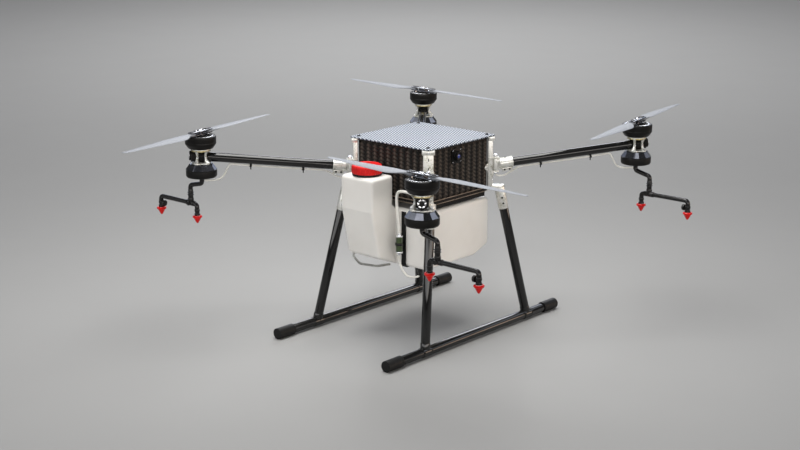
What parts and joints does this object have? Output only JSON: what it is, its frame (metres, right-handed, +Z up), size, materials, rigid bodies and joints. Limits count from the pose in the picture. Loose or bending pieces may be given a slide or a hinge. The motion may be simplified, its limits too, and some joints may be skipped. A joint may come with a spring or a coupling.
{
  "type": "agricultural spray drone",
  "caption": "Four-armed agricultural spray drone on skids, with a carbon equipment box, a moulded liquid tank with side filler, and a nozzle boom under each motor.",
  "frame": {"origin": "on the ground below the middle of the equipment box", "axes": "+Z up, +X to the front where the camera looks, -Y to the side with the filler tower"},
  "size_m": [1.6754, 1.8214, 0.6787],
  "materials": {
    "carbon_top": "glossy carbon twill, pale where it mirrors the sky",
    "carbon_panel": "dark carbon twill",
    "tube_black": "glossy black carbon tube",
    "cast_aluminium": "cast aluminium, lightly mottled",
    "can_black": "satin black anodised",
    "blade_grey": "satin blue-grey moulded composite",
    "tank_white": "milky translucent blow-moulded plastic",
    "cap_red": "satin red moulded plastic",
    "pipe_black": "black moulded pipe fittings",
    "nozzle_red": "glossy red moulded plastic",
    "hose_white": "milky white flexible hose",
    "rubber_black": "matte black rubber",
    "pack_grey": "dark grey shrink-wrapped pack",
    "steel_bright": "bright zinc and stainless fasteners",
    "lens_glass": "coated lens glass"
  },
  "bodies": {
    "root": {"top_plate": "carbon_top", "base_tray": "carbon_panel", "front_panel": "carbon_panel", "left_panel": "carbon_panel", "rear_panel": "carbon_panel", "right_panel": "carbon_panel", "battery": "pack_grey", "pump": "can_black", "camera": "can_black", "skid_front": "tube_black", "skid_rear": "tube_black", "tank": "tank_white", "line_filter": "pack_grey", "supply_hose": "hose_white", "corner_post_front_right": "cast_aluminium", "leg_front_right": "tube_black", "corner_post_front_left": "cast_aluminium", "leg_front_left": "tube_black", "corner_post_rear_left": "cast_aluminium", "leg_rear_left": "tube_black", "corner_post_rear_right": "cast_aluminium", "leg_rear_right": "tube_black"},
    "cap_lift": {"cap_seal": "rubber_black"},
    "cap_turn": {"filler_cap": "cap_red"},
    "arm_front_right": {"arm_socket_front_right": "cast_aluminium", "arm_tube_front_right": "tube_black", "arm_hose_front_right": "hose_white", "motor_mount_front_right": "cast_aluminium", "esc_housing_front_right": "can_black", "spray_boom_front_right": "pipe_black"},
    "rotor_front_right": {"rotor_front_right": "can_black"},
    "blade_a_front_right": {"blade_a_front_right": "blade_grey"},
    "blade_b_front_right": {"blade_b_front_right": "blade_grey"},
    "arm_front_left": {"arm_socket_front_left": "cast_aluminium", "arm_tube_front_left": "tube_black", "arm_hose_front_left": "hose_white", "motor_mount_front_left": "cast_aluminium", "esc_housing_front_left": "can_black", "spray_boom_front_left": "pipe_black"},
    "rotor_front_left": {"rotor_front_left": "can_black"},
    "blade_a_front_left": {"blade_a_front_left": "blade_grey"},
    "blade_b_front_left": {"blade_b_front_left": "blade_grey"},
    "arm_rear_left": {"arm_socket_rear_left": "cast_aluminium", "arm_tube_rear_left": "tube_black", "arm_hose_rear_left": "hose_white", "motor_mount_rear_left": "cast_aluminium", "esc_housing_rear_left": "can_black", "spray_boom_rear_left": "pipe_black"},
    "rotor_rear_left": {"rotor_rear_left": "can_black"},
    "blade_a_rear_left": {"blade_a_rear_left": "blade_grey"},
    "blade_b_rear_left": {"blade_b_rear_left": "blade_grey"},
    "arm_rear_right": {"arm_socket_rear_right": "cast_aluminium", "arm_tube_rear_right": "tube_black", "arm_hose_rear_right": "hose_white", "motor_mount_rear_right": "cast_aluminium", "esc_housing_rear_right": "can_black", "spray_boom_rear_right": "pipe_black"},
    "rotor_rear_right": {"rotor_rear_right": "can_black"},
    "blade_a_rear_right": {"blade_a_rear_right": "blade_grey"},
    "blade_b_rear_right": {"blade_b_rear_right": "blade_grey"}
  },
  "joints": [
    {"name": "cap_lift", "type": "slide", "parent": "root", "child": "cap_lift", "axis": [0, 0, 1], "range_m": [0, 0.012]},
    {"name": "cap_turn", "type": "hinge", "parent": "cap_lift", "child": "cap_turn", "pos_m": [-0.043, -0.223, 0.56], "axis": [0, 0, 1], "range_deg": [0, 720]},
    {"name": "arm_fold_front_right", "type": "hinge", "parent": "root", "child": "arm_front_right", "pos_m": [0.169, -0.169, 0.541], "axis": [0, 0, 1], "range_deg": [0, 45]},
    {"name": "rotor_spin_front_right", "type": "hinge", "parent": "arm_front_right", "child": "rotor_front_right", "pos_m": [0.4677, -0.5465, 0.64], "axis": [0, 0, 1], "continuous": true},
    {"name": "blade_fold_a_front_right", "type": "hinge", "parent": "rotor_front_right", "child": "blade_a_front_right", "pos_m": [0.5097, -0.5465, 0.6695], "axis": [0, 0, 1], "range_deg": [-90, 90]},
    {"name": "blade_fold_b_front_right", "type": "hinge", "parent": "rotor_front_right", "child": "blade_b_front_right", "pos_m": [0.4257, -0.5465, 0.6695], "axis": [0, 0, 1], "range_deg": [-90, 90]},
    {"name": "arm_fold_front_left", "type": "hinge", "parent": "root", "child": "arm_front_left", "pos_m": [0.169, 0.169, 0.541], "axis": [0, 0, 1], "range_deg": [-45, 0]},
    {"name": "rotor_spin_front_left", "type": "hinge", "parent": "arm_front_left", "child": "rotor_front_left", "pos_m": [0.4677, 0.5465, 0.64], "axis": [0, 0, 1], "continuous": true},
    {"name": "blade_fold_a_front_left", "type": "hinge", "parent": "rotor_front_left", "child": "blade_a_front_left", "pos_m": [0.46005, 0.5878, 0.6695], "axis": [0, 0, 1], "range_deg": [-90, 90]},
    {"name": "blade_fold_b_front_left", "type": "hinge", "parent": "rotor_front_left", "child": "blade_b_front_left", "pos_m": [0.47535, 0.5052, 0.6695], "axis": [0, 0, 1], "range_deg": [-90, 90]},
    {"name": "arm_fold_rear_left", "type": "hinge", "parent": "root", "child": "arm_rear_left", "pos_m": [-0.169, 0.169, 0.541], "axis": [0, 0, 1], "range_deg": [0, 45]},
    {"name": "rotor_spin_rear_left", "type": "hinge", "parent": "arm_rear_left", "child": "rotor_rear_left", "pos_m": [-0.4677, 0.5465, 0.64], "axis": [0, 0, 1], "continuous": true},
    {"name": "blade_fold_a_rear_left", "type": "hinge", "parent": "rotor_rear_left", "child": "blade_a_rear_left", "pos_m": [-0.5097, 0.5465, 0.6695], "axis": [0, 0, 1], "range_deg": [-90, 90]},
    {"name": "blade_fold_b_rear_left", "type": "hinge", "parent": "rotor_rear_left", "child": "blade_b_rear_left", "pos_m": [-0.4257, 0.5465, 0.6695], "axis": [0, 0, 1], "range_deg": [-90, 90]},
    {"name": "arm_fold_rear_right", "type": "hinge", "parent": "root", "child": "arm_rear_right", "pos_m": [-0.169, -0.169, 0.541], "axis": [0, 0, 1], "range_deg": [-45, 0]},
    {"name": "rotor_spin_rear_right", "type": "hinge", "parent": "arm_rear_right", "child": "rotor_rear_right", "pos_m": [-0.4677, -0.5465, 0.64], "axis": [0, 0, 1], "continuous": true},
    {"name": "blade_fold_a_rear_right", "type": "hinge", "parent": "rotor_rear_right", "child": "blade_a_rear_right", "pos_m": [-0.46005, -0.5878, 0.6695], "axis": [0, 0, 1], "range_deg": [-90, 90]},
    {"name": "blade_fold_b_rear_right", "type": "hinge", "parent": "rotor_rear_right", "child": "blade_b_rear_right", "pos_m": [-0.47535, -0.5052, 0.6695], "axis": [0, 0, 1], "range_deg": [-90, 90]}
  ],
  "couplings": [
    {"joint": "cap_lift", "follows": "cap_turn", "m_per_rad": 0.00095493}
  ]
}
